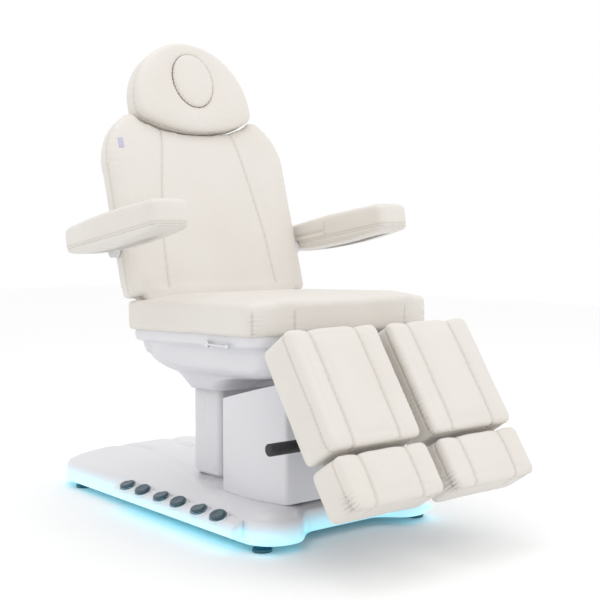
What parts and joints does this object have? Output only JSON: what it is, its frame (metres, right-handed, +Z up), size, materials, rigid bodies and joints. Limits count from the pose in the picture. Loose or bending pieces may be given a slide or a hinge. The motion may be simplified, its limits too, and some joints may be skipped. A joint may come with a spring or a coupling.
{
  "type": "facial treatment bed",
  "caption": "Electric facial treatment bed on a foot-pedal base with a lifting column, tilting seat, reclining back, two armrests, face-hole headrest and two split leg rests.",
  "frame": {"origin": "on the floor under the centre of the overall bounding box", "axes": "+Z up, the client faces -Y, +X is the client's left"},
  "size_m": [0.87, 1.3656, 1.3297],
  "materials": {
    "leatherette": "cream leatherette, soft semi-matt with a fine grain",
    "cover_plastic": "cool white vacuum-formed plastic, satin gloss",
    "panel_plastic": "white moulded rear panel",
    "frame_paint": "light grey powder coat",
    "steel": "plain turned steel",
    "chrome": "polished chrome",
    "grip_rubber": "black rubber sleeve",
    "pedal_rubber": "slate blue moulded rubber",
    "foot_plastic": "dark moulded nylon foot",
    "led_diffuser": "frosted strip lit cyan",
    "black_plastic": "black moulded plastic",
    "board_wood": "birch plywood"
  },
  "bodies": {
    "base": {"base_cover": "cover_plastic", "base_frame": "frame_paint", "levelling_feet": "foot_plastic", "levelling_studs": "steel", "led_strip": "led_diffuser", "pedal_bar": "cover_plastic", "front_housing": "cover_plastic", "control_box": "black_plastic", "power_inlet": "black_plastic", "column_outer_tube": "frame_paint", "column_foot_cover": "cover_plastic", "lift_actuator_tube": "black_plastic", "lift_gearmotor": "black_plastic"},
    "pedal_height_up": {"pedal_height_up": "pedal_rubber"},
    "pedal_height_down": {"pedal_height_down": "pedal_rubber"},
    "pedal_back_up": {"pedal_back_up": "pedal_rubber"},
    "pedal_back_down": {"pedal_back_down": "pedal_rubber"},
    "pedal_tilt_up": {"pedal_tilt_up": "pedal_rubber"},
    "pedal_tilt_down": {"pedal_tilt_down": "pedal_rubber"},
    "column_stage": {"column_middle_tube": "frame_paint"},
    "lift": {"column_inner_tube": "frame_paint", "column_cover": "cover_plastic", "lift_head_bracket": "frame_paint", "lift_actuator_rod": "steel"},
    "seat": {"seat_frame": "frame_paint", "seat_board": "board_wood", "tub_cover": "cover_plastic", "seat_cushion": "leatherette", "hinge_pins": "steel", "back_actuator_tube": "black_plastic"},
    "tilt_tube": {"tilt_actuator_tube": "black_plastic"},
    "tilt_rod": {"tilt_actuator_rod": "steel"},
    "backrest": {"backrest_cushion": "leatherette", "backrest_panel": "panel_plastic", "back_frame": "frame_paint"},
    "back_rod": {"back_actuator_rod": "steel"},
    "release_lever": {"release_lever": "chrome"},
    "armrest_right": {"armrest_pad_right": "leatherette", "armrest_shell_right": "cover_plastic", "armrest_bracket_right": "cover_plastic"},
    "armrest_left": {"armrest_pad_left": "leatherette", "armrest_shell_left": "cover_plastic", "armrest_bracket_left": "cover_plastic"},
    "headrest_slide": {"headrest_carrier": "frame_paint"},
    "headrest": {"headrest_cushion": "leatherette", "headrest_board": "board_wood"},
    "face_plug": {"face_plug": "leatherette"},
    "leg_right": {"leg_cushion_right": "leatherette", "leg_frame_right": "frame_paint"},
    "leg_handle_right": {"leg_handle_right": "steel", "leg_grip_right": "grip_rubber"},
    "foot_right": {"foot_cushion_right": "leatherette", "foot_frame_right": "frame_paint"},
    "leg_left": {"leg_cushion_left": "leatherette", "leg_frame_left": "frame_paint"},
    "leg_handle_left": {"leg_handle_left": "steel", "leg_grip_left": "grip_rubber"},
    "foot_left": {"foot_cushion_left": "leatherette", "foot_frame_left": "frame_paint"}
  },
  "joints": [
    {"name": "press_height_up", "type": "slide", "parent": "base", "child": "pedal_height_up", "axis": [0.4067, 0, -0.9135], "range_m": [0, 0.005], "stiffness_N_per_m": 900},
    {"name": "press_height_down", "type": "slide", "parent": "base", "child": "pedal_height_down", "axis": [0.4067, 0, -0.9135], "range_m": [0, 0.005], "stiffness_N_per_m": 900},
    {"name": "press_back_up", "type": "slide", "parent": "base", "child": "pedal_back_up", "axis": [0.4067, 0, -0.9135], "range_m": [0, 0.005], "stiffness_N_per_m": 900},
    {"name": "press_back_down", "type": "slide", "parent": "base", "child": "pedal_back_down", "axis": [0.4067, 0, -0.9135], "range_m": [0, 0.005], "stiffness_N_per_m": 900},
    {"name": "press_tilt_up", "type": "slide", "parent": "base", "child": "pedal_tilt_up", "axis": [0.4067, 0, -0.9135], "range_m": [0, 0.005], "stiffness_N_per_m": 900},
    {"name": "press_tilt_down", "type": "slide", "parent": "base", "child": "pedal_tilt_down", "axis": [0.4067, 0, -0.9135], "range_m": [0, 0.005], "stiffness_N_per_m": 900},
    {"name": "lift_height", "type": "slide", "parent": "base", "child": "lift", "axis": [0, 0, 1], "range_m": [0, 0.25]},
    {"name": "column_stage_slide", "type": "slide", "parent": "base", "child": "column_stage", "axis": [0, 0, 1], "range_m": [0, 0.13]},
    {"name": "seat_tilt", "type": "hinge", "parent": "lift", "child": "seat", "pos_m": [0, 0.093, 0.436], "axis": [-1, 0, 0], "range_deg": [0, 12]},
    {"name": "tilt_actuator_swing", "type": "hinge", "parent": "lift", "child": "tilt_tube", "pos_m": [0.04, 0.015, 0.425], "axis": [-1, 0, 0], "range_deg": [0, 17]},
    {"name": "tilt_actuator_stroke", "type": "slide", "parent": "tilt_tube", "child": "tilt_rod", "axis": [0, -0.9855, 0.1696], "range_m": [0, 0.009]},
    {"name": "back_recline", "type": "hinge", "parent": "seat", "child": "backrest", "pos_m": [0, 0.238, 0.555], "axis": [-1, 0, 0], "range_deg": [0, 73]},
    {"name": "back_actuator_stroke", "type": "slide", "parent": "seat", "child": "back_rod", "axis": [0, -1, 0], "range_m": [0, 0.1199]},
    {"name": "release_lever_turn", "type": "hinge", "parent": "seat", "child": "release_lever", "pos_m": [-0.294, -0.13, 0.49], "axis": [1, 0, 0], "range_deg": [0, 20], "stiffness_Nm_per_rad": 1},
    {"name": "armrest_right_swing", "type": "hinge", "parent": "backrest", "child": "armrest_right", "pos_m": [-0.32, 0.28273, 0.72009], "axis": [-1, 0, 0], "range_deg": [-75, 95]},
    {"name": "armrest_left_swing", "type": "hinge", "parent": "backrest", "child": "armrest_left", "pos_m": [0.32, 0.28273, 0.72009], "axis": [-1, 0, 0], "range_deg": [-75, 95]},
    {"name": "headrest_height", "type": "slide", "parent": "backrest", "child": "headrest_slide", "axis": [0, 0.284, 0.9588], "range_m": [0, 0.08]},
    {"name": "headrest_tilt", "type": "hinge", "parent": "headrest_slide", "child": "headrest", "pos_m": [0, 0.42716, 1.10909], "axis": [-1, 0, 0], "range_deg": [0, 35]},
    {"name": "face_plug_pull", "type": "slide", "parent": "headrest", "child": "face_plug", "axis": [0, -0.9588, 0.284], "range_m": [0, 0.1]},
    {"name": "leg_right_raise", "type": "hinge", "parent": "seat", "child": "leg_right", "pos_m": [-0.16, -0.372, 0.505], "axis": [-1, 0, 0], "range_deg": [0, 56.5]},
    {"name": "leg_handle_right_pull", "type": "hinge", "parent": "leg_right", "child": "leg_handle_right", "pos_m": [-0.16, -0.42224, 0.31647], "axis": [-1, 0, 0], "range_deg": [0, 15], "stiffness_Nm_per_rad": 12},
    {"name": "foot_right_extend", "type": "slide", "parent": "leg_right", "child": "foot_right", "axis": [0, -0.5512, -0.8344], "range_m": [0, 0.1]},
    {"name": "leg_left_raise", "type": "hinge", "parent": "seat", "child": "leg_left", "pos_m": [0.16, -0.372, 0.505], "axis": [-1, 0, 0], "range_deg": [0, 56.5]},
    {"name": "leg_handle_left_pull", "type": "hinge", "parent": "leg_left", "child": "leg_handle_left", "pos_m": [0.16, -0.42224, 0.31647], "axis": [-1, 0, 0], "range_deg": [0, 15], "stiffness_Nm_per_rad": 12},
    {"name": "foot_left_extend", "type": "slide", "parent": "leg_left", "child": "foot_left", "axis": [0, -0.5512, -0.8344], "range_m": [0, 0.1]}
  ],
  "couplings": [
    {"joint": "column_stage_slide", "follows": "lift_height", "ratio": 0.5},
    {"joint": "tilt_actuator_swing", "follows": "seat_tilt", "ratio": 1.3196},
    {"joint": "tilt_actuator_stroke", "follows": "seat_tilt", "m_per_rad": 0.034128},
    {"joint": "back_actuator_stroke", "follows": "back_recline", "m_per_rad": 0.09333}
  ]
}
